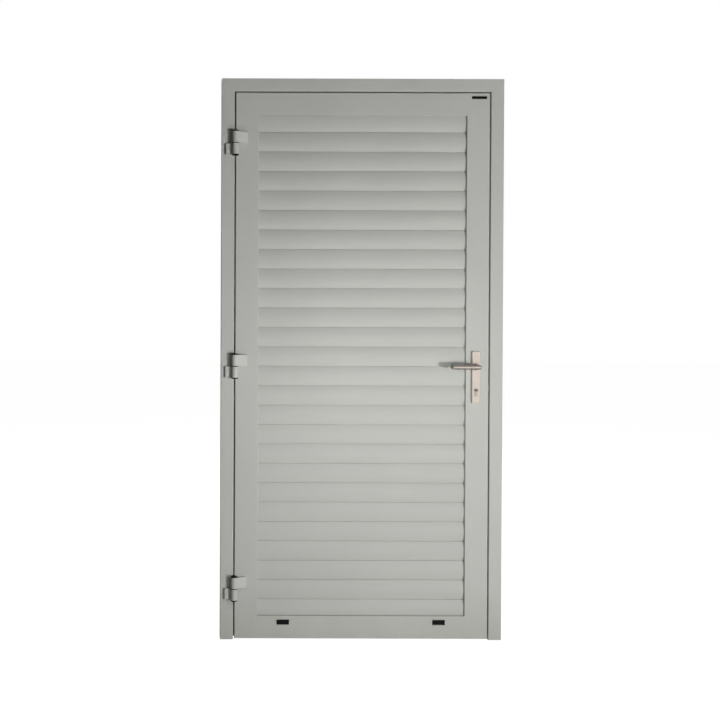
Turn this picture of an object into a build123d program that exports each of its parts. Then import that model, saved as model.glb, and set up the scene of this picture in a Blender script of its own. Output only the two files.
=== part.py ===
"""A single leaf utility door in its frame, with a slatted infill and lever handles.

Millimetres, Z up. X runs from the hinge jamb's wall side face to the lock jamb's wall
side face, and the opening side of the door looks along -Y. Y = 0 is the middle of the
frame's depth and Z = 0 the finished floor.
"""
import os
from math import acos, atan2, cos, floor, hypot, sin, sqrt

from build123d import *

os.makedirs("parts", exist_ok=True)

# Frame: a hollow profile round three sides, with a stop lip behind the leaf
frame_width = 1104.0
frame_height = 2200.0
frame_depth = 52.0
frame_face = 50.5
frame_wall = 2.0
frame_edge = 1.0
frame_inner_edge = 3.0
stop_width = 22.0
stop_thickness = 6.0
frame_front = -frame_depth / 2
stop_front = frame_depth / 2 - stop_thickness

# Seal in a groove of the stop lip
groove_inset = 10.0
groove_width = 5.0
groove_depth = 3.0
seal_width = 9.0
seal_off_leaf = 0.5

# Wall fixings through both jambs, in pairs
fixing_radius = 5.25
fixing_low = 300.0
fixing_pair = 700.0
fixing_depth = 4.0
hole_cap_radius = 8.0
hole_cap_thickness = 1.6

# Leaf: four mitred hollow profiles with a lip round the infill
leaf_gap = 4.5
floor_gap = 4.0
leaf_depth = 40.0
leaf_face = 89.5
leaf_wall = 2.0
leaf_edge = 3.0
lip_width = 20.0
lip_thickness = 6.0
lip_edge = 1.5
flange_width = 4.0
leaf_left = frame_face + leaf_gap
leaf_right = frame_width - frame_face - leaf_gap
leaf_top = frame_height - frame_face - leaf_gap
leaf_bottom = floor_gap
leaf_width = leaf_right - leaf_left
leaf_height = leaf_top - leaf_bottom
leaf_back = frame_front + leaf_depth
lip_back = frame_front + lip_thickness
chamber_width = leaf_face - lip_width - flange_width
chamber_inner = flange_width + chamber_width
chamber_middle = frame_front + leaf_depth / 2

# Slats: convex bars hooked into one another, held between the lip and the beads
slat_pitch = 76.5
slat_rise = 6.0
slat_thickness = 9.0
slat_seam = 1.4
slat_seat = 0.3
slat_end_gap = 2.0
hook_inset = 0.6
stem_thickness = 2.0
hook_height = 6.2
hook_thickness = 2.0
hook_gap = 0.4
hook_front = slat_rise + hook_inset
stem_front = hook_front + stem_thickness
stem_back = stem_front + stem_thickness
slat_half = slat_pitch / 2
slat_radius = (slat_half**2 + slat_rise**2) / (2 * slat_rise)
slat_front = lip_back + slat_seat
infill_left = leaf_left + chamber_inner + slat_end_gap
infill_right = leaf_right - chamber_inner - slat_end_gap
infill_low = leaf_bottom + chamber_inner + slat_end_gap
infill_high = leaf_top - chamber_inner - slat_end_gap
slat_count = floor((infill_high - infill_low) / slat_pitch)
slat_slack = infill_high - infill_low - slat_count * slat_pitch
lowest_slat = infill_low + slat_slack / 2


def slat_depth(radius, rise):
    """Depth behind the slat's crest of an arc of this radius, this far from mid height."""
    return slat_radius - sqrt(radius**2 - rise**2)


slat_back = slat_front + slat_depth(slat_radius - slat_thickness, slat_half - slat_seam / 2)

# Beads that close the rebate behind the slats
bead_width = 17.0
bead_wall = 1.5
bead_slope = 3.0
bead_front = slat_back + slat_seat

# Hinges: three surface hinges with a fixed pin each
hinge_low = 204.0
hinge_below_top = 255.0
hinge_high = frame_height - hinge_below_top
hinge_heights = (hinge_low, (hinge_low + hinge_high) / 2, hinge_high)
barrel_radius = 12.6
barrel_offset = 18.0
knuckle_height = 42.8
washer_height = 3.2
hinge_play = 0.1
pin_radius = 5.0
pin_play = 0.05
pin_short = 4.0
frame_wing_reach = 36.5
frame_wing_thickness = 10.0
frame_wing_stop = 1.0
leaf_wing_reach = 49.0
leaf_wing_thickness = 4.0
leaf_wing_start = 0.5
cap_height = 4.6
cap_rim = 3.8
cap_plug = 2.5
cap_edge = 1.0
hinge_x = frame_face + leaf_gap / 2
hinge_y = frame_front - barrel_offset

# Lock case, its forend and the latch
backset = 51.5
handle_x = leaf_right - backset
handle_height = 1074.0
cylinder_drop = 92.0
case_above = 62.0
case_below = 128.0
case_thickness = 16.0
case_behind = 15.5
forend_width = 22.0
forend_thickness = 3.0
forend_over = 22.0
follower_radius = 6.5
latch_height = 16.0
latch_width = 11.0
latch_out = 4.0
latch_bevel = 3.0
lock_side = leaf_right - flange_width
cylinder_height = handle_height - cylinder_drop

# Strike plate in the lock jamb
strike_width = 26.0
strike_height = 170.0
strike_thickness = 2.0
strike_latch = 24.0
strike_bolt = 50.0
strike_hole_width = 15.0

# Lever handles on long back plates
plate_width = 31.0
plate_thickness = 9.0
plate_above = 61.0
plate_below = 141.0
plate_edge = 1.5
neck_radius = 8.5
neck_play = 0.3
neck_sunk = 4.0
foot_radius = 13.0
foot_play = 0.4
lever_stand_off = 43.0
lever_reach = 93.5
lever_tip_gap = 12.0
lever_tip_edge = 2.0
spindle_side = 8.0
spindle_grip = 20.0

# Profile cylinder
cylinder_radius = 8.5
cylinder_drop_total = 33.0
cylinder_lobe = 10.0
cylinder_out = 2.5
cylinder_play = 0.2

# Drain covers on the bottom rail
drain_from_edge = 191.0
drain_height = 69.0
drain_length = 48.0
drain_tall = 19.0
drain_out = 4.0
drain_edge = 1.5

# The hollow frame profile, from its wall side face inwards
with BuildSketch() as frame_section:
    Rectangle(frame_face, frame_depth, align=(Align.MIN, Align.CENTER))
    fillet(frame_section.vertices().sort_by(Axis.Y)[:2].sort_by(Axis.X)[0], frame_edge)
    fillet(frame_section.vertices().sort_by(Axis.Y)[:2].sort_by(Axis.X)[-1], frame_inner_edge)
    with Locations((frame_face - frame_wall, frame_depth / 2)):
        Rectangle(stop_width + frame_wall, stop_thickness, align=(Align.MIN, Align.MAX))
    with Locations((frame_face / 2, 0)):
        Rectangle(
            frame_face - 2 * frame_wall, frame_depth - 2 * frame_wall, mode=Mode.SUBTRACT
        )
    with Locations((frame_face + groove_inset, stop_front)):
        Rectangle(
            groove_width, groove_depth, align=(Align.MIN, Align.MIN), mode=Mode.SUBTRACT
        )

# The seal: a foot in the groove and a soft pad towards the leaf
with BuildSketch() as seal_section:
    with Locations((frame_face + groove_inset, stop_front)):
        Rectangle(groove_width, groove_depth, align=(Align.MIN, Align.MIN))
    with Locations((frame_face + groove_inset + groove_width / 2, stop_front)):
        Rectangle(
            seal_width, stop_front - leaf_back - seal_off_leaf, align=(Align.CENTER, Align.MAX)
        )
    fillet(seal_section.vertices().sort_by(Axis.Y)[:2], seal_off_leaf * 2)

# The hollow leaf profile, from the leaf's edge inwards
with BuildSketch() as leaf_section:
    with Locations((0, frame_front)):
        Rectangle(leaf_face, lip_thickness, align=(Align.MIN, Align.MIN))
    fillet(leaf_section.vertices().sort_by(Axis.Y)[:2].sort_by(Axis.X)[0], leaf_edge)
    fillet(leaf_section.vertices().sort_by(Axis.Y)[:2].sort_by(Axis.X)[-1], lip_edge)
    with Locations((flange_width, frame_front)):
        Rectangle(chamber_width, leaf_depth, align=(Align.MIN, Align.MIN))
    with Locations((flange_width + leaf_wall, frame_front + leaf_wall)):
        Rectangle(
            chamber_width - 2 * leaf_wall,
            leaf_depth - 2 * leaf_wall,
            align=(Align.MIN, Align.MIN),
            mode=Mode.SUBTRACT,
        )
    with Locations((chamber_inner, frame_front + leaf_wall)):
        Rectangle(
            lip_width - leaf_wall,
            lip_thickness - 2 * leaf_wall,
            align=(Align.MIN, Align.MIN),
            mode=Mode.SUBTRACT,
        )

# The hollow bead, sloped towards the infill
with BuildSketch() as bead_section:
    with BuildLine():
        Polyline(
            (chamber_inner, bead_front),
            (chamber_inner + bead_width, bead_front),
            (chamber_inner + bead_width - bead_slope, leaf_back),
            (chamber_inner, leaf_back),
            close=True,
        )
    make_face()
    offset(amount=-bead_wall, mode=Mode.SUBTRACT)


def mitred_bar(where, length, section, start_cut=True, end_cut=True):
    """A bar of this section along the plane's normal, cut at 45 degrees where asked."""
    reach = frame_depth + lip_thickness + leaf_face
    low = reach if start_cut else 0
    high = length - reach if end_cut else length
    with BuildPart() as bar:
        with BuildSketch(where):
            add(section.sketch)
        extrude(amount=length)
        with BuildSketch(Plane(where.origin, x_dir=where.x_dir, z_dir=-where.y_dir)):
            Polygon((0, 0), (reach, low), (reach, high), (0, length), align=None)
        extrude(amount=frame_depth, both=True, mode=Mode.INTERSECT)
    return bar.part


def side_plane(x, z, inwards):
    """A plane for a bar whose section starts at this edge and runs inwards."""
    across = Vector(*inwards)
    return Plane((x, 0, z), x_dir=across, z_dir=across.cross(Vector(0, 1, 0)))


to_right = (1, 0, 0)
to_left = (-1, 0, 0)
upwards = (0, 0, 1)
downwards = (0, 0, -1)
hinge_jamb_side = side_plane(0, 0, to_right)
lock_jamb_side = side_plane(frame_width, frame_height, to_left)
head_side = side_plane(0, frame_height, downwards)
fixing_heights = [
    fixing_low,
    fixing_low + fixing_pair,
    frame_height - fixing_low - fixing_pair / 2,
    frame_height - fixing_low,
]

# Hinge jamb, drilled through both walls for the wall fixings
with BuildPart() as hinge_jamb:
    add(mitred_bar(hinge_jamb_side, frame_height, frame_section, start_cut=False))
    with BuildSketch(Plane.YZ):
        with Locations(*[(-fixing_depth, z) for z in fixing_heights]):
            Circle(fixing_radius)
    extrude(amount=frame_face, mode=Mode.SUBTRACT)
hinge_jamb.part.label = "hinge_jamb"
export_step(hinge_jamb.part, "parts/hinge_jamb.step")

# Lock jamb, drilled the same way and cut out for the strike plate
with BuildPart() as lock_jamb:
    add(mitred_bar(lock_jamb_side, frame_height, frame_section, end_cut=False))
    with BuildSketch(Plane.YZ.offset(frame_width)):
        with Locations(*[(-fixing_depth, z) for z in fixing_heights]):
            Circle(fixing_radius)
    extrude(amount=-frame_face, mode=Mode.SUBTRACT)
    with Locations((frame_width - frame_face, chamber_middle, handle_height - cylinder_drop / 2)):
        Box(
            strike_thickness,
            strike_width,
            strike_height,
            align=(Align.MIN, Align.CENTER, Align.CENTER),
            mode=Mode.SUBTRACT,
        )
lock_jamb.part.label = "lock_jamb"
export_step(lock_jamb.part, "parts/lock_jamb.step")

# Head of the frame, mitred into both jambs
with BuildPart() as frame_head:
    add(mitred_bar(head_side, frame_width, frame_section))
frame_head.part.label = "frame_head"
export_step(frame_head.part, "parts/frame_head.step")

# One soft seal round the three sides of the stop lip
with BuildPart() as frame_seal:
    add(mitred_bar(hinge_jamb_side, frame_height, seal_section, start_cut=False))
    add(mitred_bar(lock_jamb_side, frame_height, seal_section, end_cut=False))
    add(mitred_bar(head_side, frame_width, seal_section))
frame_seal.part.label = "frame_seal"
export_step(frame_seal.part, "parts/frame_seal.step")

# Plastic caps over the fixing holes, inside the door opening
with BuildPart() as fixing_caps:
    for x, out in ((frame_face, 1), (frame_width - frame_face, -1)):
        with BuildSketch(Plane.YZ.offset(x)):
            with Locations(*[(-fixing_depth, z) for z in fixing_heights]):
                Circle(hole_cap_radius)
        extrude(amount=out * hole_cap_thickness)
fixing_caps.part.label = "fixing_caps"
export_step(fixing_caps.part, "parts/fixing_caps.step")

# Strike plate, flush in the lock jamb, open for the latch and the bolt
with BuildPart() as strike_plate:
    with BuildSketch(Plane.YZ.offset(frame_width - frame_face)):
        with Locations((chamber_middle, handle_height - cylinder_drop / 2)):
            Rectangle(strike_width, strike_height)
        with Locations((chamber_middle, handle_height)):
            Rectangle(strike_hole_width, strike_latch, mode=Mode.SUBTRACT)
        with Locations((chamber_middle, cylinder_height)):
            Rectangle(strike_hole_width, strike_bolt, mode=Mode.SUBTRACT)
    extrude(amount=strike_thickness)
strike_plate.part.label = "strike_plate"
export_step(strike_plate.part, "parts/strike_plate.step")

# Leaf: two stiles and two rails with mitred corners
hinge_stile_side = side_plane(leaf_left, leaf_bottom, to_right)
lock_stile_side = side_plane(leaf_right, leaf_top, to_left)
top_rail_side = side_plane(leaf_left, leaf_top, downwards)
bottom_rail_side = side_plane(leaf_right, leaf_bottom, upwards)

with BuildPart() as hinge_stile:
    add(mitred_bar(hinge_stile_side, leaf_height, leaf_section))
hinge_stile.part.label = "hinge_stile"
export_step(hinge_stile.part, "parts/hinge_stile.step")

with BuildPart() as top_rail:
    add(mitred_bar(top_rail_side, leaf_width, leaf_section))
top_rail.part.label = "top_rail"
export_step(top_rail.part, "parts/top_rail.step")

with BuildPart() as bottom_rail:
    add(mitred_bar(bottom_rail_side, leaf_width, leaf_section))
bottom_rail.part.label = "bottom_rail"
export_step(bottom_rail.part, "parts/bottom_rail.step")

# Outline of the profile cylinder, seen along Y from the front
with BuildSketch() as cylinder_outline:
    Circle(cylinder_radius)
    lobe_end = cylinder_radius - cylinder_drop_total + cylinder_lobe / 2
    with Locations((0, lobe_end / 2)):
        Rectangle(cylinder_lobe, -lobe_end)
    with Locations((0, lobe_end)):
        Circle(cylinder_lobe / 2)

with BuildSketch() as cylinder_hole:
    add(cylinder_outline.sketch)
    offset(amount=cylinder_play)

# The forend is a long plate with rounded ends
forend_height = case_above + case_below + 2 * forend_over
forend_middle = handle_height + (case_above - case_below) / 2
case_height = case_above + case_below

with BuildSketch() as forend_outline:
    SlotOverall(forend_height, forend_width, rotation=90)

front_plane = Plane((handle_x, frame_front, 0), x_dir=to_right, z_dir=(0, -1, 0))

with BuildPart() as lock_stile:
    add(mitred_bar(lock_stile_side, leaf_height, leaf_section))
    with BuildSketch(front_plane):
        with Locations((0, handle_height)):
            Circle(neck_radius + neck_play)
        with Locations((0, cylinder_height)):
            add(cylinder_hole.sketch)
    extrude(amount=-leaf_depth, mode=Mode.SUBTRACT)
    with BuildSketch(Plane.YZ.offset(lock_side)):
        with Locations((chamber_middle, forend_middle)):
            add(forend_outline.sketch)
    extrude(amount=-leaf_wall, mode=Mode.SUBTRACT)
lock_stile.part.label = "lock_stile"
export_step(lock_stile.part, "parts/lock_stile.step")

# One slat: convex front, concave back, a hook on top and its groove below
with BuildSketch() as slat_section:
    low = slat_seam / 2
    high = slat_pitch - slat_seam / 2
    end_rise = slat_half - low
    front_end = slat_depth(slat_radius, end_rise)
    back_end = slat_depth(slat_radius - slat_thickness, end_rise)
    hook_low = hook_height - hook_thickness
    with BuildLine():
        ThreePointArc((front_end, low), (0, slat_half), (front_end, high))
        Polyline(
            (front_end, high),
            (stem_front, high),
            (stem_front, slat_pitch + hook_low),
            (hook_front, slat_pitch + hook_low),
            (hook_front, slat_pitch + hook_height),
            (stem_back, slat_pitch + hook_height),
            (stem_back, high),
            (back_end, high),
        )
        ThreePointArc((back_end, high), (slat_thickness, slat_half), (back_end, low))
        Polyline(
            (back_end, low),
            (stem_back + hook_gap, low),
            (stem_back + hook_gap, hook_height + hook_gap),
            (hook_front - hook_gap, hook_height + hook_gap),
            (hook_front - hook_gap, hook_low - hook_gap),
            (stem_front - hook_gap, hook_low - hook_gap),
            (stem_front - hook_gap, low),
            (front_end, low),
        )
    make_face()

# The stack of slats; the top hook of the highest is trimmed to the rebate
with BuildPart() as slats:
    with BuildSketch(Plane.YZ.offset(infill_left)):
        with Locations(
            *[(slat_front, lowest_slat + row * slat_pitch) for row in range(slat_count)]
        ):
            add(slat_section.sketch)
    extrude(amount=infill_right - infill_left)
    with Locations((frame_width / 2, chamber_middle, infill_low)):
        Box(
            frame_width,
            frame_depth,
            infill_high - infill_low,
            align=(Align.CENTER, Align.CENTER, Align.MIN),
            mode=Mode.INTERSECT,
        )
slats.part.label = "slats"
export_step(slats.part, "parts/slats.step")

# Four beads behind the slats, mitred like the leaf
for name, side, length in (
    ("bead_hinge_side", hinge_stile_side, leaf_height),
    ("bead_lock_side", lock_stile_side, leaf_height),
    ("bead_top", top_rail_side, leaf_width),
    ("bead_bottom", bottom_rail_side, leaf_width),
):
    with BuildPart() as bead:
        add(mitred_bar(side, length, bead_section))
    bead.part.label = name
    export_step(bead.part, f"parts/{name}.step")

# Hinge wings in plan: a flat one on the frame and a tapered one on the leaf
wing_tip = (leaf_wing_reach, barrel_offset - leaf_wing_thickness)
tangent_turn = atan2(wing_tip[1], wing_tip[0]) - acos(barrel_radius / hypot(*wing_tip))
leaf_edge_off = leaf_gap / 2 + leaf_wing_start

with BuildSketch() as frame_wing_section:
    Circle(barrel_radius)
    with Locations((-frame_wing_reach, barrel_offset)):
        Rectangle(
            frame_wing_reach - leaf_gap / 2 - frame_wing_stop,
            frame_wing_thickness,
            align=(Align.MIN, Align.MAX),
        )

with BuildSketch() as leaf_wing_section:
    Circle(barrel_radius)
    with BuildLine():
        Polyline(
            (leaf_edge_off, 0),
            (barrel_radius * cos(tangent_turn), barrel_radius * sin(tangent_turn)),
            wing_tip,
            (leaf_wing_reach, barrel_offset),
            (leaf_edge_off, barrel_offset),
            close=True,
        )
    make_face()

for level, height in zip(("bottom", "middle", "top"), hinge_heights):
    frame_knuckle_low = height - knuckle_height - washer_height / 2
    leaf_knuckle_low = height + washer_height / 2 + hinge_play
    with BuildPart() as frame_hinge:
        with BuildSketch(Plane((hinge_x, hinge_y, frame_knuckle_low))):
            add(frame_wing_section.sketch)
        extrude(amount=knuckle_height)
        with Locations((hinge_x, hinge_y, frame_knuckle_low)):
            Cylinder(
                pin_radius,
                knuckle_height,
                align=(Align.CENTER, Align.CENTER, Align.MIN),
                mode=Mode.SUBTRACT,
            )
    frame_hinge.part.label = f"frame_hinge_{level}"
    export_step(frame_hinge.part, f"parts/frame_hinge_{level}.step")
    with BuildPart() as leaf_hinge:
        with BuildSketch(Plane((hinge_x, hinge_y, leaf_knuckle_low))):
            add(leaf_wing_section.sketch)
        extrude(amount=knuckle_height)
        with Locations((hinge_x, hinge_y, leaf_knuckle_low)):
            Cylinder(
                pin_radius + pin_play,
                knuckle_height,
                align=(Align.CENTER, Align.CENTER, Align.MIN),
                mode=Mode.SUBTRACT,
            )
    leaf_hinge.part.label = f"leaf_hinge_{level}"
    export_step(leaf_hinge.part, f"parts/leaf_hinge_{level}.step")

# Hinge pins, fixed in the frame knuckles
pin_length = 2 * knuckle_height + washer_height - pin_short - cap_plug
with BuildPart() as hinge_pins:
    for height in hinge_heights:
        pin_low = height - knuckle_height - washer_height / 2 + cap_plug
        with Locations((hinge_x, hinge_y, pin_low)):
            Cylinder(pin_radius, pin_length, align=(Align.CENTER, Align.CENTER, Align.MIN))
hinge_pins.part.label = "hinge_pins"
export_step(hinge_pins.part, "parts/hinge_pins.step")

# Bearing washers between the knuckles
with BuildPart() as hinge_washers:
    for height in hinge_heights:
        with BuildSketch(Plane((hinge_x, hinge_y, height - washer_height / 2))):
            Circle(barrel_radius)
            Circle(pin_radius, mode=Mode.SUBTRACT)
        extrude(amount=washer_height)
hinge_washers.part.label = "hinge_washers"
export_step(hinge_washers.part, "parts/hinge_washers.step")

# Bevelled end caps, plugged into the barrels from below and from above
for name, way in (("hinge_foot_caps", -1), ("hinge_head_caps", 1)):
    with BuildPart() as caps:
        for height in hinge_heights:
            reach = knuckle_height + washer_height / 2 + (hinge_play if way > 0 else 0)
            with BuildSketch(
                Plane((hinge_x, hinge_y, height + way * reach), z_dir=(0, -1, 0), x_dir=(1, 0, 0))
            ):
                Polygon(
                    (0, -way * cap_plug),
                    (pin_radius, -way * cap_plug),
                    (pin_radius, 0),
                    (barrel_radius, 0),
                    (barrel_radius, way * cap_rim),
                    (barrel_radius - cap_edge, way * cap_height),
                    (0, way * cap_height),
                    align=None,
                )
            revolve(axis=Axis((hinge_x, hinge_y, 0), (0, 0, 1)))
    caps.part.label = name
    export_step(caps.part, f"parts/{name}.step")

# Lock case inside the lock stile
case_left = handle_x - case_behind
case_right = lock_side - forend_thickness
with BuildPart() as lock_case:
    with Locations((case_left, chamber_middle, handle_height - case_below)):
        Box(
            case_right - case_left,
            case_thickness,
            case_height,
            align=(Align.MIN, Align.CENTER, Align.MIN),
        )
    with BuildSketch(front_plane):
        with Locations((0, handle_height)):
            Circle(follower_radius)
        with Locations((0, cylinder_height)):
            add(cylinder_hole.sketch)
    extrude(amount=-leaf_depth, mode=Mode.SUBTRACT)
lock_case.part.label = "lock_case"
export_step(lock_case.part, "parts/lock_case.step")

# Forend, flush with the edge of the stile, and the latch nose drawn back
with BuildPart() as lock_forend:
    with BuildSketch(Plane.YZ.offset(lock_side)):
        with Locations((chamber_middle, forend_middle)):
            add(forend_outline.sketch)
    extrude(amount=-forend_thickness)
lock_forend.part.label = "lock_forend"
export_step(lock_forend.part, "parts/lock_forend.step")

with BuildPart() as latch:
    with BuildSketch(Plane((lock_side, chamber_middle, handle_height - latch_height / 2))):
        with BuildLine():
            Polyline(
                (0, -latch_width / 2),
                (latch_out, -latch_width / 2),
                (latch_out, latch_width / 2 - latch_bevel),
                (latch_out - latch_bevel, latch_width / 2),
                (0, latch_width / 2),
                close=True,
            )
        make_face()
    extrude(amount=latch_height)
latch.part.label = "latch"
export_step(latch.part, "parts/latch.step")

# Long back plates, one on each face of the stile
back_plane = Plane((handle_x, leaf_back, 0), x_dir=to_left, z_dir=(0, 1, 0))
for name, face_plane in (("outer_plate", front_plane), ("inner_plate", back_plane)):
    with BuildPart() as plate:
        with BuildSketch(face_plane):
            with Locations((0, handle_height + (plate_above - plate_below) / 2)):
                Rectangle(plate_width, plate_above + plate_below)
        extrude(amount=plate_thickness)
        front_face = plate.faces().sort_by(Axis(face_plane.origin, face_plane.z_dir))[-1]
        fillet(front_face.edges(), plate_edge)
        with BuildSketch(face_plane):
            with Locations((0, handle_height)):
                Circle(neck_radius + neck_play)
            with Locations((0, cylinder_height)):
                add(cylinder_hole.sketch)
        extrude(amount=plate_thickness, mode=Mode.SUBTRACT)
    plate.part.label = name
    export_step(plate.part, f"parts/{name}.step")

# Profile cylinder through the stile, the lock case and both plates
cylinder_length = leaf_depth + 2 * plate_thickness + 2 * cylinder_out
with BuildPart() as lock_cylinder:
    with BuildSketch(front_plane.offset(plate_thickness + cylinder_out)):
        with Locations((0, cylinder_height)):
            add(cylinder_outline.sketch)
    extrude(amount=-cylinder_length)
lock_cylinder.part.label = "lock_cylinder"
export_step(lock_cylinder.part, "parts/lock_cylinder.step")

# Lever handles: a tapered neck and a round bar, mitred along the door and back to it
lever_tip = handle_x - lever_reach
with BuildPart() as lever_handles:
    for face_y, out in ((frame_front, -1), (leaf_back, 1)):
        root = face_y + out * (plate_thickness - neck_sunk)
        bar_y = face_y + out * (plate_thickness + lever_stand_off)
        with BuildLine(Plane.XY.offset(handle_height)) as lever_path:
            Polyline(
                (handle_x, root),
                (handle_x, bar_y),
                (lever_tip, bar_y),
                (lever_tip, face_y + out * lever_tip_gap),
            )
        with BuildSketch(Plane((handle_x, root, handle_height), z_dir=(0, out, 0))):
            Circle(neck_radius)
        sweep(path=lever_path.wire(), transition=Transition.RIGHT)
        with Locations((handle_x, face_y + out * (plate_thickness + foot_play), handle_height)):
            Cone(
                foot_radius,
                neck_radius,
                lever_stand_off - neck_radius,
                rotation=(-out * 90, 0, 0),
                align=(Align.CENTER, Align.CENTER, Align.MIN),
            )
        with Locations((handle_x, root, handle_height)):
            Box(spindle_side, 2 * spindle_grip, spindle_side, mode=Mode.SUBTRACT)
    tips = lever_handles.faces().filter_by(Plane.XZ).sort_by(Axis.X)[:2]
    chamfer([edge for tip in tips for edge in tip.edges()], lever_tip_edge)
lever_handles.part.label = "lever_handles"
export_step(lever_handles.part, "parts/lever_handles.step")

# Square spindle between the two levers
spindle_front = frame_front - plate_thickness + neck_sunk - spindle_grip
spindle_back = leaf_back + plate_thickness - neck_sunk + spindle_grip
with BuildPart() as spindle:
    with Locations((handle_x, spindle_front, handle_height)):
        Box(
            spindle_side,
            spindle_back - spindle_front,
            spindle_side,
            align=(Align.CENTER, Align.MIN, Align.CENTER),
        )
spindle.part.label = "spindle"
export_step(spindle.part, "parts/spindle.step")

# Drain covers near both ends of the bottom rail
with BuildPart() as drain_covers:
    for x in (leaf_left + drain_from_edge, leaf_right - drain_from_edge):
        with Locations((x, frame_front, drain_height)):
            Box(
                drain_length,
                drain_out,
                drain_tall,
                align=(Align.CENTER, Align.MAX, Align.CENTER),
            )
    fillet(drain_covers.faces().filter_by(Plane.XZ).sort_by(Axis.Y)[0].edges(), drain_edge)
    fillet(drain_covers.faces().filter_by(Plane.XZ).sort_by(Axis.Y)[1].edges(), drain_edge)
drain_covers.part.label = "drain_covers"
export_step(drain_covers.part, "parts/drain_covers.step")
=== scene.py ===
import math

import bmesh
import bpy
from mathutils import Matrix, Vector


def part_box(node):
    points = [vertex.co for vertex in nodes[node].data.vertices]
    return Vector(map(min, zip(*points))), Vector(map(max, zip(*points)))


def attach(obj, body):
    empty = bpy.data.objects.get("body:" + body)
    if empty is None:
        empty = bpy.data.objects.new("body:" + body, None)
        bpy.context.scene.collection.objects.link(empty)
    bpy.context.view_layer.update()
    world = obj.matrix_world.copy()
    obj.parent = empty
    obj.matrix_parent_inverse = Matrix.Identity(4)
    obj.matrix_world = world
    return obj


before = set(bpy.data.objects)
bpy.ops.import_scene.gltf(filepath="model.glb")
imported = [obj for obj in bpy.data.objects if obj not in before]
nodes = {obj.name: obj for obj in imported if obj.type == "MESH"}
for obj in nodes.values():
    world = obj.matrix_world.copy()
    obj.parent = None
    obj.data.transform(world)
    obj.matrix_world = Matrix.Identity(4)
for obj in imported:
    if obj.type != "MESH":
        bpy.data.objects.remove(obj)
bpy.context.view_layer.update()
scene = bpy.context.scene

# Door frame: two jambs and a head of hollow aluminium profile, mitred at the top corners
# and powder coated in a warm light grey with a fine satin texture. It is fixed through
# both jambs into the wall. The helpers for every later piece are defined here.
PAINT = (0.452, 0.458, 0.430)


def socket(tree, name, kind, side, value=None):
    """Adds one socket to a node group's interface."""
    made = tree.interface.new_socket(name=name, in_out=side, socket_type=kind)
    if value is not None:
        made.default_value = value


def group(name, inputs, outputs):
    """A new node group with these sockets, and its input and output nodes."""
    tree = bpy.data.node_groups.new(name, "ShaderNodeTree")
    for label, kind, value in inputs:
        socket(tree, label, kind, "INPUT", value)
    for label, kind in outputs:
        socket(tree, label, kind, "OUTPUT")
    return tree, tree.nodes.new("NodeGroupInput"), tree.nodes.new("NodeGroupOutput")


def noise(tree, coords, scale, detail=3.0, rough=0.5):
    """A noise texture on these coordinates, scale in features per metre."""
    made = tree.nodes.new("ShaderNodeTexNoise")
    made.inputs["Scale"].default_value = scale
    made.inputs["Detail"].default_value = detail
    made.inputs["Roughness"].default_value = rough
    tree.links.new(coords, made.inputs["Vector"])
    return made.outputs["Fac"]


def math_node(tree, kind, a, b=0.0, clamp=False):
    """A maths node whose two inputs are sockets or numbers."""
    made = tree.nodes.new("ShaderNodeMath")
    made.operation = kind
    made.use_clamp = clamp
    for at, value in enumerate((a, b)):
        if isinstance(value, (int, float)):
            made.inputs[at].default_value = value
        else:
            tree.links.new(value, made.inputs[at])
    return made.outputs[0]


def spread(tree, value, low, high, to_low, to_high):
    """Maps a value from one range to another, clamped."""
    made = tree.nodes.new("ShaderNodeMapRange")
    tree.links.new(value, made.inputs["Value"])
    for label, number in (
        ("From Min", low),
        ("From Max", high),
        ("To Min", to_low),
        ("To Max", to_high),
    ):
        made.inputs[label].default_value = number
    return made.outputs["Result"]


def mix_colour(tree, factor, a, b, blend="MIX"):
    """Mixes two colours, each a socket or a tuple."""
    made = tree.nodes.new("ShaderNodeMix")
    made.data_type = "RGBA"
    made.blend_type = blend
    for at, value in ((0, factor), (6, a), (7, b)):
        if isinstance(value, (int, float)):
            made.inputs[at].default_value = value
        elif isinstance(value, tuple):
            made.inputs[at].default_value = (*value, 1.0)
        else:
            tree.links.new(value, made.inputs[at])
    return made.outputs[2]


def edge_mask(tree, radius):
    """The normal rounded over edges, and a mask that is 1 on them."""
    bevel = tree.nodes.new("ShaderNodeBevel")
    bevel.samples = 6
    bevel.inputs["Radius"].default_value = radius
    shape = tree.nodes.new("ShaderNodeNewGeometry")
    dot = tree.nodes.new("ShaderNodeVectorMath")
    dot.operation = "DOT_PRODUCT"
    tree.links.new(bevel.outputs["Normal"], dot.inputs[0])
    tree.links.new(shape.outputs["Normal"], dot.inputs[1])
    return bevel.outputs["Normal"], spread(tree, dot.outputs["Value"], 0.995, 0.8, 0.0, 1.0)


def bump(tree, height, distance, strength, normal=None):
    """A bump node of this height."""
    made = tree.nodes.new("ShaderNodeBump")
    made.inputs["Distance"].default_value = distance
    made.inputs["Strength"].default_value = strength
    tree.links.new(height, made.inputs["Height"])
    if normal is not None:
        tree.links.new(normal, made.inputs["Normal"])
    return made.outputs["Normal"]


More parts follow.
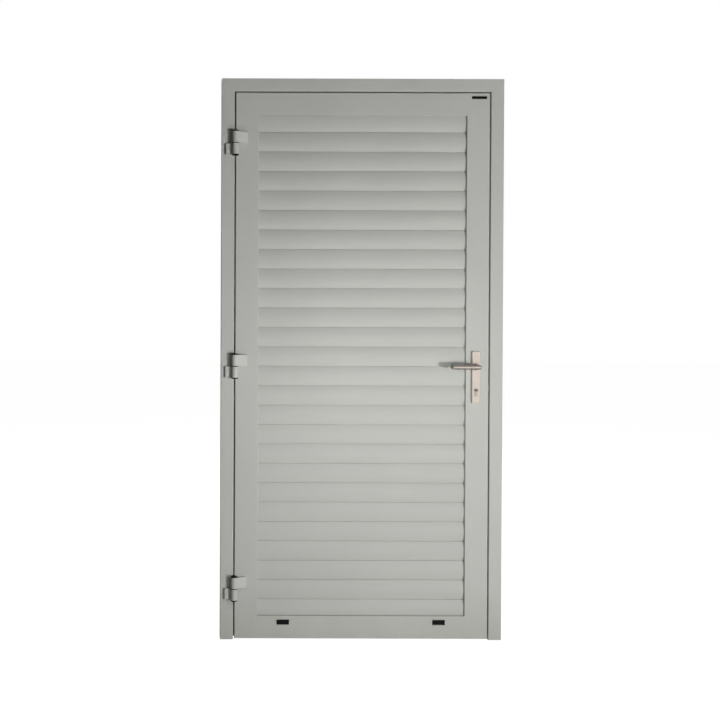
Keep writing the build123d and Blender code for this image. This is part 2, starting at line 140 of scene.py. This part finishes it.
def coat_group():
    """Powder coat: orange peel, slight mottling, dust near the floor and thin bright edges."""
    tree, given, out = group(
        "powder_coat",
        (
            ("Colour", "NodeSocketColor", (*PAINT, 1.0)),
            ("Edge", "NodeSocketFloat", 0.25),
            ("Dust", "NodeSocketFloat", 0.35),
        ),
        (
            ("Colour", "NodeSocketColor"),
            ("Roughness", "NodeSocketFloat"),
            ("Normal", "NodeSocketVector"),
        ),
    )
    place = tree.nodes.new("ShaderNodeTexCoord").outputs["Object"]
    rounded, edges = edge_mask(tree, 0.0012)
    patches = spread(tree, noise(tree, place, 2.2, 4.0), 0.3, 0.7, 0.975, 1.02)
    speckle = spread(tree, noise(tree, place, 520.0, 2.0), 0.35, 0.65, 0.985, 1.012)
    tone = math_node(tree, "MULTIPLY", patches, speckle)
    shade = tree.nodes.new("ShaderNodeCombineColor")
    for at in range(3):
        tree.links.new(tone, shade.inputs[at])
    base = mix_colour(tree, 1.0, given.outputs["Colour"], shade.outputs[0], "MULTIPLY")
    split = tree.nodes.new("ShaderNodeSeparateXYZ")
    tree.links.new(place, split.inputs[0])
    near_floor = spread(tree, split.outputs["Z"], 0.22, 0.0, 0.0, 1.0)
    dirt = math_node(tree, "MULTIPLY", near_floor, noise(tree, place, 14.0, 6.0, 0.65))
    dirt = math_node(tree, "MULTIPLY", dirt, given.outputs["Dust"], clamp=True)
    dusty = mix_colour(tree, dirt, base, (0.33, 0.31, 0.27))
    chips = math_node(tree, "MULTIPLY", edges, noise(tree, place, 60.0, 4.0))
    chips = math_node(tree, "MULTIPLY", chips, given.outputs["Edge"], clamp=True)
    tree.links.new(mix_colour(tree, chips, dusty, (0.62, 0.62, 0.60)), out.inputs["Colour"])
    gloss = spread(tree, noise(tree, place, 7.0, 5.0), 0.3, 0.7, 0.43, 0.52)
    tree.links.new(math_node(tree, "ADD", gloss, dirt), out.inputs["Roughness"])
    peel = noise(tree, place, 950.0, 2.0, 0.6)
    tree.links.new(bump(tree, peel, 0.00006, 0.35, rounded), out.inputs["Normal"])
    return tree


def finish_of(name, tree, values=(), shader=()):
    """A material whose Principled shader is fed by this group; constants go on the shader."""
    made = bpy.data.materials.new(name)
    made.use_nodes = True
    links, kit = made.node_tree.links, made.node_tree.nodes
    surface = kit["Principled BSDF"]
    feed = kit.new("ShaderNodeGroup")
    feed.node_tree = tree
    for label, value in values:
        feed.inputs[label].default_value = value
    for label, target in (
        ("Colour", "Base Color"),
        ("Roughness", "Roughness"),
        ("Metallic", "Metallic"),
        ("Normal", "Normal"),
    ):
        if label in feed.outputs:
            links.new(feed.outputs[label], surface.inputs[target])
    for label, value in shader:
        surface.inputs[label].default_value = value
    return made


def dress(material, *names):
    """Gives CAD nodes this material."""
    for name in names:
        mesh = nodes[name].data
        mesh.materials.clear()
        mesh.materials.append(material)


POWDER = coat_group()
frame_coat = finish_of("frame_coat", POWDER, (("Dust", 0.5),), (("Specular IOR Level", 0.15),))
dress(frame_coat, "hinge_jamb", "lock_jamb", "frame_head")

# Frame seal: one black extruded rubber strip in the groove of the stop lip. It has a
# matt skin with fine lines along its length and a little grey dust in them.


def plain_group(name, dark, light, rough_low, rough_high, grain, depth):
    """A matt moulded or extruded skin: fine grain, cloudy wear and soft edges."""
    tree, given, out = group(
        name,
        (("Grain", "NodeSocketFloat", grain),),
        (
            ("Colour", "NodeSocketColor"),
            ("Roughness", "NodeSocketFloat"),
            ("Normal", "NodeSocketVector"),
        ),
    )
    place = tree.nodes.new("ShaderNodeTexCoord").outputs["Object"]
    rounded, edges = edge_mask(tree, 0.0006)
    cloud = noise(tree, place, 45.0, 5.0, 0.6)
    wear = math_node(tree, "MAXIMUM", spread(tree, cloud, 0.45, 0.8, 0.0, 1.0), edges)
    tree.links.new(mix_colour(tree, wear, dark, light), out.inputs["Colour"])
    tree.links.new(
        spread(tree, cloud, 0.3, 0.7, rough_low, rough_high), out.inputs["Roughness"]
    )
    fine = tree.nodes.new("ShaderNodeTexNoise")
    fine.inputs["Detail"].default_value = 3.0
    tree.links.new(place, fine.inputs["Vector"])
    tree.links.new(given.outputs["Grain"], fine.inputs["Scale"])
    tree.links.new(bump(tree, fine.outputs["Fac"], depth, 0.4, rounded), out.inputs["Normal"])
    return tree


RUBBER = plain_group(
    "rubber_skin", (0.018, 0.018, 0.018), (0.05, 0.05, 0.048), 0.6, 0.8, 700.0, 0.0001
)
dress(finish_of("seal_rubber", RUBBER), "frame_seal")

# Small moulded plastic pieces: fixing hole caps in the frame, the washers between the
# hinge knuckles and the bevelled caps pressed into both ends of the barrels.
MOULDED = plain_group(
    "moulded_skin", (0.003, 0.003, 0.003), (0.008, 0.008, 0.008), 0.5, 0.64, 1500.0, 0.00005
)
black_moulding = finish_of("black_moulding", MOULDED, (), (("Specular IOR Level", 0.06),))
dress(black_moulding, "hinge_washers", "hinge_foot_caps", "hinge_head_caps")
grey_moulding = finish_of(
    "grey_moulding", POWDER, (("Edge", 0.1), ("Dust", 0.1)), (("Specular IOR Level", 0.15),)
)
dress(grey_moulding, "fixing_caps")


# Plated steel: the strike plate, the forend with its latch, the lock case, the hinge pins
# and the spindle. Zinc plated sheet and bar with a faint crystal pattern and rubbed edges.


def steel_group():
    """Zinc plated steel with cloudy patches and a fine grain."""
    tree, given, out = group(
        "plated_steel",
        (("Colour", "NodeSocketColor", (0.52, 0.52, 0.52, 1.0)),),
        (
            ("Colour", "NodeSocketColor"),
            ("Roughness", "NodeSocketFloat"),
            ("Normal", "NodeSocketVector"),
        ),
    )
    place = tree.nodes.new("ShaderNodeTexCoord").outputs["Object"]
    rounded, edges = edge_mask(tree, 0.0005)
    cloud = noise(tree, place, 90.0, 4.0, 0.6)
    dull = spread(tree, cloud, 0.35, 0.7, 0.0, 0.35)
    worn = mix_colour(tree, dull, given.outputs["Colour"], (0.34, 0.33, 0.31))
    tree.links.new(mix_colour(tree, edges, worn, (0.7, 0.7, 0.7)), out.inputs["Colour"])
    tree.links.new(spread(tree, cloud, 0.3, 0.7, 0.28, 0.45), out.inputs["Roughness"])
    grain = noise(tree, place, 1200.0, 2.0)
    tree.links.new(bump(tree, grain, 0.00003, 0.3, rounded), out.inputs["Normal"])
    return tree


STEEL = steel_group()
plated = finish_of("plated_steel", STEEL, (), (("Metallic", 1.0),))
dress(plated, "strike_plate", "lock_forend", "latch", "lock_case", "hinge_pins", "spindle")

# Hinges: three surface hinges of extruded aluminium, coated with the door. The lower
# knuckle and a flat wing are on the frame, the upper knuckle and a tapered wing are on
# the leaf, which turns on the washer about a fixed pin.
hinge_coat = finish_of(
    "hinge_coat",
    POWDER,
    (("Colour", (0.44, 0.445, 0.42, 1.0)), ("Edge", 0.35), ("Dust", 0.1)),
    (("Specular IOR Level", 0.2),),
)
for level in ("bottom", "middle", "top"):
    dress(hinge_coat, f"frame_hinge_{level}", f"leaf_hinge_{level}")

# Leaf: two stiles and two rails of one hollow profile, mitred, coated with the frame.
# The front lip laps over the slats, and beads hold them from behind.
leaf_coat = finish_of("leaf_coat", POWDER, (("Dust", 0.4),), (("Specular IOR Level", 0.15),))
dress(leaf_coat, "hinge_stile", "lock_stile", "top_rail", "bottom_rail")
dress(leaf_coat, "bead_hinge_side", "bead_lock_side", "bead_top", "bead_bottom")

# Slats: convex roller formed aluminium bars hooked into one another. Their coating is the
# door's, laid on coil, so it is a little smoother, with faint lines along the bars.


def slat_group():
    """Coil coat: a smooth paint with faint rolling lines along X and dust in the seams."""
    tree, given, out = group(
        "coil_coat",
        (("Colour", "NodeSocketColor", (*PAINT, 1.0)),),
        (
            ("Colour", "NodeSocketColor"),
            ("Roughness", "NodeSocketFloat"),
            ("Normal", "NodeSocketVector"),
        ),
    )
    place = tree.nodes.new("ShaderNodeTexCoord").outputs["Object"]
    stretch = tree.nodes.new("ShaderNodeMapping")
    stretch.inputs["Scale"].default_value = (0.02, 1.0, 1.0)
    tree.links.new(place, stretch.inputs["Vector"])
    along = stretch.outputs["Vector"]
    rounded, edges = edge_mask(tree, 0.0008)
    streak = spread(tree, noise(tree, along, 260.0, 3.0), 0.3, 0.7, 0.985, 1.012)
    patches = spread(tree, noise(tree, place, 2.6, 4.0), 0.3, 0.7, 0.975, 1.02)
    tone = math_node(tree, "MULTIPLY", streak, patches)
    shade = tree.nodes.new("ShaderNodeCombineColor")
    for at in range(3):
        tree.links.new(tone, shade.inputs[at])
    base = mix_colour(tree, 1.0, given.outputs["Colour"], shade.outputs[0], "MULTIPLY")
    chips = math_node(tree, "MULTIPLY", edges, noise(tree, place, 50.0, 4.0))
    chips = math_node(tree, "MULTIPLY", chips, 0.15, clamp=True)
    tree.links.new(mix_colour(tree, chips, base, (0.3, 0.29, 0.26)), out.inputs["Colour"])
    tree.links.new(
        spread(tree, noise(tree, place, 9.0, 4.0), 0.3, 0.7, 0.40, 0.48),
        out.inputs["Roughness"],
    )
    fine = noise(tree, along, 900.0, 2.0)
    tree.links.new(bump(tree, fine, 0.00004, 0.3, rounded), out.inputs["Normal"])
    return tree


COIL = slat_group()
dress(finish_of("slat_coat", COIL, (), (("Specular IOR Level", 0.15),)), "slats")

# Handle set: long narrow plates, lever handles and the profile cylinder in satin nickel,
# brushed along the plate's length and along the lever. The levers and the cylinder get darker
# copies of the plates' nickel, a painted shade. A plug painted dark and a black bar over the
# key slot sit in each end of the cylinder, both a painted shade in place of the hollow keyway.


def brushed_group():
    """Satin nickel: fine brush lines, faint finger marks and rubbed edges."""
    tree, given, out = group(
        "satin_nickel",
        (
            ("Colour", "NodeSocketColor", (0.74, 0.66, 0.58, 1.0)),
            ("Stretch", "NodeSocketVector", (1.0, 1.0, 0.02)),
            ("Rough", "NodeSocketFloat", 0.4),
        ),
        (
            ("Colour", "NodeSocketColor"),
            ("Roughness", "NodeSocketFloat"),
            ("Normal", "NodeSocketVector"),
        ),
    )
    place = tree.nodes.new("ShaderNodeTexCoord").outputs["Object"]
    mapping = tree.nodes.new("ShaderNodeMapping")
    tree.links.new(place, mapping.inputs["Vector"])
    tree.links.new(given.outputs["Stretch"], mapping.inputs["Scale"])
    along = mapping.outputs["Vector"]
    rounded, edges = edge_mask(tree, 0.0005)
    lines = noise(tree, along, 2600.0, 2.0)
    marks = noise(tree, place, 55.0, 5.0, 0.6)
    darker = spread(tree, lines, 0.3, 0.7, 0.14, 0.0)
    base = mix_colour(tree, darker, given.outputs["Colour"], (0.42, 0.37, 0.32))
    tree.links.new(mix_colour(tree, edges, base, (0.8, 0.75, 0.68)), out.inputs["Colour"])
    blur = spread(tree, marks, 0.3, 0.7, -0.05, 0.06)
    rough = math_node(tree, "ADD", blur, given.outputs["Rough"])
    tree.links.new(rough, out.inputs["Roughness"])
    tree.links.new(bump(tree, lines, 0.00002, 0.25, rounded), out.inputs["Normal"])
    return tree


BRUSHED = brushed_group()
plate_nickel = finish_of(
    "plate_nickel",
    BRUSHED,
    (("Colour", (0.40, 0.352, 0.31, 1.0)), ("Rough", 0.58)),
    (("Metallic", 0.4),),
)
# The levers' colour is a much darker copy of the plates' nickel, a painted shade that stands
# in for the dark surroundings the bars reflect.
lever_nickel_painted_dark = finish_of(
    "lever_nickel_painted_dark",
    BRUSHED,
    (("Colour", (0.24, 0.212, 0.186, 1.0)), ("Stretch", (0.02, 1.0, 1.0)), ("Rough", 0.33)),
    (("Metallic", 1.0),),
)
# The cylinder's colour is a darker copy of the plates' nickel, a painted shade.
cylinder_nickel_painted_dark = finish_of(
    "cylinder_nickel_painted_dark",
    BRUSHED,
    (("Colour", (0.21, 0.188, 0.17, 1.0)), ("Rough", 0.5)),
    (("Metallic", 0.5),),
)
dress(plate_nickel, "outer_plate", "inner_plate")
dress(lever_nickel_painted_dark, "lever_handles")
dress(cylinder_nickel_painted_dark, "lock_cylinder")

SHARP_ANGLE = 30
DISC_SIDES = 40
EDGE_STEPS = 2


def piece(name, mesh_maker, material, body):
    """A new piece from a bmesh, with its material, moving with this body."""
    mesh = bpy.data.meshes.new(name)
    shape = bmesh.new()
    mesh_maker(shape)
    bmesh.ops.recalc_face_normals(shape, faces=shape.faces)
    shape.to_mesh(mesh)
    shape.free()
    mesh.materials.append(material)
    mesh.shade_smooth()
    mesh.set_sharp_from_angle(angle=math.radians(SHARP_ANGLE))
    made = bpy.data.objects.new(name, mesh)
    scene.collection.objects.link(made)
    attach(made, body)
    return made


def turn_to(axis):
    """The rotation that takes Z to this axis."""
    return Vector((0, 0, 1)).rotation_difference(Vector(axis)).to_matrix().to_4x4()


def disc(shape, centre, axis, radius, height):
    """A short cylinder whose base is at centre and whose axis points out."""
    made = bmesh.ops.create_cone(
        shape, cap_ends=True, segments=DISC_SIDES, radius1=radius, radius2=radius, depth=height
    )
    place = Matrix.Translation(Vector(centre)) @ turn_to(axis)
    place = place @ Matrix.Translation((0, 0, height / 2))
    bmesh.ops.transform(shape, matrix=place, verts=made["verts"])


def block(shape, low, high, edge):
    """A box between two corners, with rounded edges."""
    made = bmesh.ops.create_cube(shape, size=1.0)
    size = Vector(high) - Vector(low)
    middle = (Vector(high) + Vector(low)) / 2
    place = Matrix.Translation(middle) @ Matrix.Diagonal((*size, 1.0))
    bmesh.ops.transform(shape, matrix=place, verts=made["verts"])
    rim = list({e for v in made["verts"] for e in v.link_edges})
    bmesh.ops.bevel(
        shape, geom=rim, offset=edge, segments=EDGE_STEPS, profile=0.5, affect="EDGES"
    )


# The plugs' near-black colour is a painted shade, standing in for the shadow in the recessed
# ends of the cylinder.
plug_painted_shade = finish_of(
    "plug_painted_shade",
    STEEL,
    (("Colour", (0.055, 0.05, 0.046, 1.0)),),
    (("Metallic", 0.7),),
)
plug_below_top = 0.0085
plug_radius = 0.0070
plug_height = 0.0006
plug_sink = 0.0002
slot_half_width = 0.0055
slot_half_height = 0.0015
slot_base = 0.0002
slot_face = 0.0006
slot_edge = 0.0002
low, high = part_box("lock_cylinder")
key_x = (low.x + high.x) / 2
key_z = high.z - plug_below_top


def key_plug(shape, y, out):
    """The round plug, sunk a little into this end of the cylinder."""
    disc(shape, (key_x, y - out * plug_sink, key_z), (0, out, 0), plug_radius, plug_height)


def keyway_painted_shade(shape, y, out):
    """The key slot, drawn as a black bar that stands just proud of the plug, a painted shade
    in place of the hollow keyway.
    """
    near, far = sorted((y + out * slot_base, y + out * slot_face))
    block(
        shape,
        (key_x - slot_half_width, near, key_z - slot_half_height),
        (key_x + slot_half_width, far, key_z + slot_half_height),
        slot_edge,
    )


# Each end of the cylinder gets the plug in a painted shade and the black key slot bar, a
# painted shade for the keyway.
for side, y, out in (("outer", low.y, -1), ("inner", high.y, 1)):
    piece(f"key_plug_{side}", lambda shape: key_plug(shape, y, out), plug_painted_shade, "leaf")
    piece(f"keyway_painted_shade_{side}", lambda shape: keyway_painted_shade(shape, y, out), black_moulding, "leaf")

# Drain covers: two black moulded plastic caps with a matt skin, clipped over the drain
# slots in the front of the bottom rail.
dress(black_moulding, "drain_covers")

# Name plate: a small blank black moulded plate with rounded edges, stuck to the leaf near
# its top corner on the lock side.
plate_width = 0.059
plate_low = 2.1215
plate_high = 2.1325
plate_thickness = 0.0009
plate_edge = 0.0004
plate_inset = 0.0125
leaf_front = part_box("top_rail")[0].y
plate_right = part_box("lock_stile")[1].x - plate_inset
piece(
    "name_plate",
    lambda shape: block(
        shape,
        (plate_right - plate_width, leaf_front - plate_thickness, plate_low),
        (plate_right, leaf_front, plate_high),
        plate_edge,
    ),
    black_moulding,
    "leaf",
)

# Stage: a pale floor that runs far out, white behind, a soft key light from the right, a
# weaker one close in front of the leaf, one behind and one above, and a faint fill.
FLOOR_COLOUR = (0.68, 0.68, 0.67, 1.0)
FLOOR_SIZE = 30.0
WHITE = (1.0, 1.0, 1.0, 1.0)
# The camera sees this share of glow on the floor, and the rest as shaded paint, so the
# floor looks white and still keeps the door's shadow.
GLOW_SHARE = 0.7
GLOW_STRENGTH = 1.37
FILL_STRENGTH = 0.02


def shown(tree):
    """1 for what the camera sees, straight on, in a reflection or through glass."""
    path = tree.nodes.new("ShaderNodeLightPath").outputs
    straight = math_node(tree, "MAXIMUM", path["Is Camera Ray"], path["Is Glossy Ray"])
    return math_node(tree, "MAXIMUM", straight, path["Is Transmission Ray"])


white_floor = bpy.data.materials.new("floor")
white_floor.use_nodes = True
floor_tree = white_floor.node_tree
floor_out = floor_tree.nodes["Material Output"]
floor_paint = floor_tree.nodes["Principled BSDF"]
floor_paint.inputs["Base Color"].default_value = FLOOR_COLOUR
floor_paint.inputs["Roughness"].default_value = 0.9
glow = floor_tree.nodes.new("ShaderNodeEmission")
blend = floor_tree.nodes.new("ShaderNodeMixShader")
share = math_node(floor_tree, "MULTIPLY", shown(floor_tree), GLOW_SHARE)
glow.inputs["Strength"].default_value = GLOW_STRENGTH
floor_tree.links.new(share, blend.inputs["Fac"])
floor_tree.links.new(floor_paint.outputs["BSDF"], blend.inputs[1])
floor_tree.links.new(glow.outputs["Emission"], blend.inputs[2])
floor_tree.links.new(blend.outputs["Shader"], floor_out.inputs["Surface"])
floor_mesh = bpy.data.meshes.new("floor")
floor_shape = bmesh.new()
bmesh.ops.create_grid(floor_shape, x_segments=1, y_segments=1, size=FLOOR_SIZE)
floor_shape.to_mesh(floor_mesh)
floor_shape.free()
floor_mesh.materials.append(white_floor)
floor = bpy.data.objects.new("floor", floor_mesh)
scene.collection.objects.link(floor)

world = bpy.data.worlds.new("studio")
scene.world = world
world.use_nodes = True
sky = world.node_tree
sky_out = sky.nodes["World Output"]
fill = sky.nodes["Background"]
fill.inputs["Color"].default_value = WHITE
fill.inputs["Strength"].default_value = FILL_STRENGTH
backdrop = sky.nodes.new("ShaderNodeBackground")
backdrop.inputs["Color"].default_value = WHITE
backdrop.inputs["Strength"].default_value = 1.0
pick = sky.nodes.new("ShaderNodeMixShader")
sky.links.new(shown(sky), pick.inputs["Fac"])
sky.links.new(fill.outputs["Background"], pick.inputs[1])
sky.links.new(backdrop.outputs["Background"], pick.inputs[2])
sky.links.new(pick.outputs["Shader"], sky_out.inputs["Surface"])


def soft_light(name, place, radius, power):
    """A round soft light, kept out of the camera's sight."""
    lamp = bpy.data.lights.new(name, "POINT")
    lamp.shadow_soft_size = radius
    lamp.energy = power
    made = bpy.data.objects.new(name, lamp)
    made.location = place
    made.visible_camera = False
    scene.collection.objects.link(made)


soft_light("key", (3.8, -4.8, 0.3), 0.3, 800.0)
soft_light("front", (0.59, -1.0, 0.92), 0.4, 18.8)
soft_light("rear", (1.5, 3.2, 1.7), 0.5, 280.0)
soft_light("top", (0.55, 0.5, 4.0), 0.4, 75.0)

# The camera stands left of the door and looks straight at its plane. The shift brings the
# door into the middle of the picture, as in the photo.
camera_tilt_down = 0.55
camera_roll = -0.17
camera_data = bpy.data.cameras.new("camera")
camera = bpy.data.objects.new("camera", camera_data)
scene.collection.objects.link(camera)
scene.camera = camera
camera_data.sensor_width = 36.0
camera_data.lens = 51.05
camera_data.shift_x = 0.26
camera_data.shift_y = -0.0364
camera_data.dof.use_dof = False
camera.location = (-0.1897, -4.027, 1.2385)
camera.rotation_euler = (math.radians(90 - camera_tilt_down), math.radians(camera_roll), 0.0)

scene.view_settings.view_transform = "Standard"
